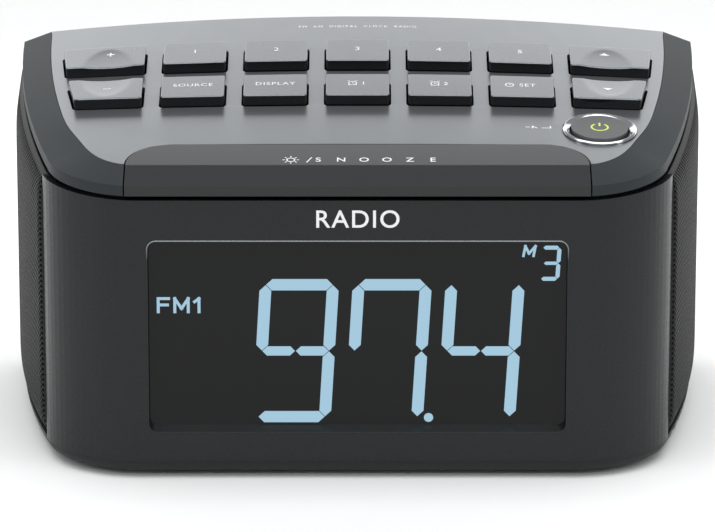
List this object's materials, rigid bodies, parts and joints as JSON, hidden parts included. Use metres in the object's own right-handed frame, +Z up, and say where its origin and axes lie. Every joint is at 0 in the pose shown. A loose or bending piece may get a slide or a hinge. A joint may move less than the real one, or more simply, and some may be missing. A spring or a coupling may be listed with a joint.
{
  "type": "tabletop clock radio",
  "caption": "Dark tabletop clock radio with a large lit display, side speaker grilles, a sloping metallic key panel, a snooze bar and a power button.",
  "frame": {"origin": "middle of the radio's footprint box, on the table under its rubber feet", "axes": "+X to the viewer's right, -Y out of the display, +Z up"},
  "size_m": [0.1982, 0.108, 0.1058],
  "materials": {
    "base_plastic": "fine-grained moulded ABS",
    "cabinet_plastic": "satin-gloss moulded ABS",
    "trim_plastic": "finely textured ABS",
    "panel_paint": "grey metallic paint",
    "foot_rubber": "moulded rubber",
    "lens_acrylic": "smoked acrylic, polished",
    "lcd": "dark display glass",
    "inner_plastic": "white moulded plastic",
    "guide_acrylic": "clear light guide",
    "circuit_board": "green solder mask",
    "ribbon": "flat cable",
    "switch_plastic": "moulded nylon",
    "key_plastic": "grey metallic paint over black",
    "button_plastic": "satin moulded ABS",
    "bar_plastic": "satin moulded ABS",
    "ring_chrome": "bright plated",
    "grille_mesh": "black perforated grille",
    "basket_steel": "black painted pressed steel",
    "cone_paper": "pressed paper cone",
    "ferrite": "sintered ferrite",
    "copper_wire": "enamelled copper wire",
    "can_aluminium": "drawn aluminium",
    "cell_jacket": "printed jacket",
    "spring_steel": "nickel-plated spring steel",
    "screw_steel": "blackened steel"
  },
  "bodies": {
    "cabinet": {"base_tray": "base_plastic", "foot_strips": "foot_rubber", "front_shell": "cabinet_plastic", "rear_cover": "base_plastic", "top_trim": "trim_plastic", "top_panel": "panel_paint", "display_lens": "lens_acrylic", "lcd_glass": "lcd", "lcd_holder": "inner_plastic", "light_guide": "guide_acrylic", "display_board": "circuit_board", "display_ribbon": "ribbon", "key_board": "circuit_board", "key_switches": "switch_plastic", "key_ribbon": "ribbon", "power_ring": "ring_chrome", "snooze_board": "circuit_board", "snooze_switches": "switch_plastic", "speaker_screws": "screw_steel", "main_board": "circuit_board", "board_chips": "switch_plastic", "board_capacitors": "can_aluminium", "tuner_shield": "can_aluminium", "dc_jack": "switch_plastic", "aux_jack": "switch_plastic", "antenna_gland": "foot_rubber", "ferrite_rod": "ferrite", "rod_coil": "copper_wire", "battery_cells": "cell_jacket", "battery_contacts": "spring_steel", "case_screws": "screw_steel", "rear_screws": "screw_steel", "board_screws": "screw_steel", "key_board_screws": "screw_steel", "grille_left": "grille_mesh", "speaker_basket_left": "basket_steel", "speaker_cone_left": "cone_paper", "speaker_magnet_left": "ferrite", "grille_right": "grille_mesh", "speaker_basket_right": "basket_steel", "speaker_cone_right": "cone_paper", "speaker_magnet_right": "ferrite"},
    "key_plus": {"key_plus": "key_plastic"},
    "key_1": {"key_1": "key_plastic"},
    "key_2": {"key_2": "key_plastic"},
    "key_3": {"key_3": "key_plastic"},
    "key_4": {"key_4": "key_plastic"},
    "key_5": {"key_5": "key_plastic"},
    "key_up": {"key_up": "key_plastic"},
    "key_minus": {"key_minus": "key_plastic"},
    "key_source": {"key_source": "key_plastic"},
    "key_display": {"key_display": "key_plastic"},
    "key_alarm_1": {"key_alarm_1": "key_plastic"},
    "key_alarm_2": {"key_alarm_2": "key_plastic"},
    "key_set": {"key_set": "key_plastic"},
    "key_down": {"key_down": "key_plastic"},
    "power_button": {"power_button": "button_plastic"},
    "snooze_bar": {"snooze_bar": "bar_plastic"},
    "battery_door": {"battery_door": "base_plastic"}
  },
  "joints": [
    {"name": "key_plus_press", "type": "slide", "parent": "cabinet", "child": "key_plus", "axis": [0, 0.169, -0.9856], "range_m": [0, 0.001], "stiffness_N_per_m": 150, "springref_m": -0.0015},
    {"name": "key_1_press", "type": "slide", "parent": "cabinet", "child": "key_1", "axis": [0, 0.169, -0.9856], "range_m": [0, 0.001], "stiffness_N_per_m": 150, "springref_m": -0.0015},
    {"name": "key_2_press", "type": "slide", "parent": "cabinet", "child": "key_2", "axis": [0, 0.169, -0.9856], "range_m": [0, 0.001], "stiffness_N_per_m": 150, "springref_m": -0.0015},
    {"name": "key_3_press", "type": "slide", "parent": "cabinet", "child": "key_3", "axis": [0, 0.169, -0.9856], "range_m": [0, 0.001], "stiffness_N_per_m": 150, "springref_m": -0.0015},
    {"name": "key_4_press", "type": "slide", "parent": "cabinet", "child": "key_4", "axis": [0, 0.169, -0.9856], "range_m": [0, 0.001], "stiffness_N_per_m": 150, "springref_m": -0.0015},
    {"name": "key_5_press", "type": "slide", "parent": "cabinet", "child": "key_5", "axis": [0, 0.169, -0.9856], "range_m": [0, 0.001], "stiffness_N_per_m": 150, "springref_m": -0.0015},
    {"name": "key_up_press", "type": "slide", "parent": "cabinet", "child": "key_up", "axis": [0, 0.169, -0.9856], "range_m": [0, 0.001], "stiffness_N_per_m": 150, "springref_m": -0.0015},
    {"name": "key_minus_press", "type": "slide", "parent": "cabinet", "child": "key_minus", "axis": [0, 0.169, -0.9856], "range_m": [0, 0.001], "stiffness_N_per_m": 150, "springref_m": -0.0015},
    {"name": "key_source_press", "type": "slide", "parent": "cabinet", "child": "key_source", "axis": [0, 0.169, -0.9856], "range_m": [0, 0.001], "stiffness_N_per_m": 150, "springref_m": -0.0015},
    {"name": "key_display_press", "type": "slide", "parent": "cabinet", "child": "key_display", "axis": [0, 0.169, -0.9856], "range_m": [0, 0.001], "stiffness_N_per_m": 150, "springref_m": -0.0015},
    {"name": "key_alarm_1_press", "type": "slide", "parent": "cabinet", "child": "key_alarm_1", "axis": [0, 0.169, -0.9856], "range_m": [0, 0.001], "stiffness_N_per_m": 150, "springref_m": -0.0015},
    {"name": "key_alarm_2_press", "type": "slide", "parent": "cabinet", "child": "key_alarm_2", "axis": [0, 0.169, -0.9856], "range_m": [0, 0.001], "stiffness_N_per_m": 150, "springref_m": -0.0015},
    {"name": "key_set_press", "type": "slide", "parent": "cabinet", "child": "key_set", "axis": [0, 0.169, -0.9856], "range_m": [0, 0.001], "stiffness_N_per_m": 150, "springref_m": -0.0015},
    {"name": "key_down_press", "type": "slide", "parent": "cabinet", "child": "key_down", "axis": [0, 0.169, -0.9856], "range_m": [0, 0.001], "stiffness_N_per_m": 150, "springref_m": -0.0015},
    {"name": "power_button_press", "type": "slide", "parent": "cabinet", "child": "power_button", "axis": [0, 0.169, -0.9856], "range_m": [0, 0.001], "stiffness_N_per_m": 150, "springref_m": -0.0015},
    {"name": "snooze_bar_press", "type": "slide", "parent": "cabinet", "child": "snooze_bar", "axis": [0, 0, -1], "range_m": [0, 0.001], "stiffness_N_per_m": 300, "springref_m": -0.0015},
    {"name": "battery_door_slide", "type": "slide", "parent": "cabinet", "child": "battery_door", "axis": [0, 1, 0], "range_m": [0, 0.066]}
  ]
}
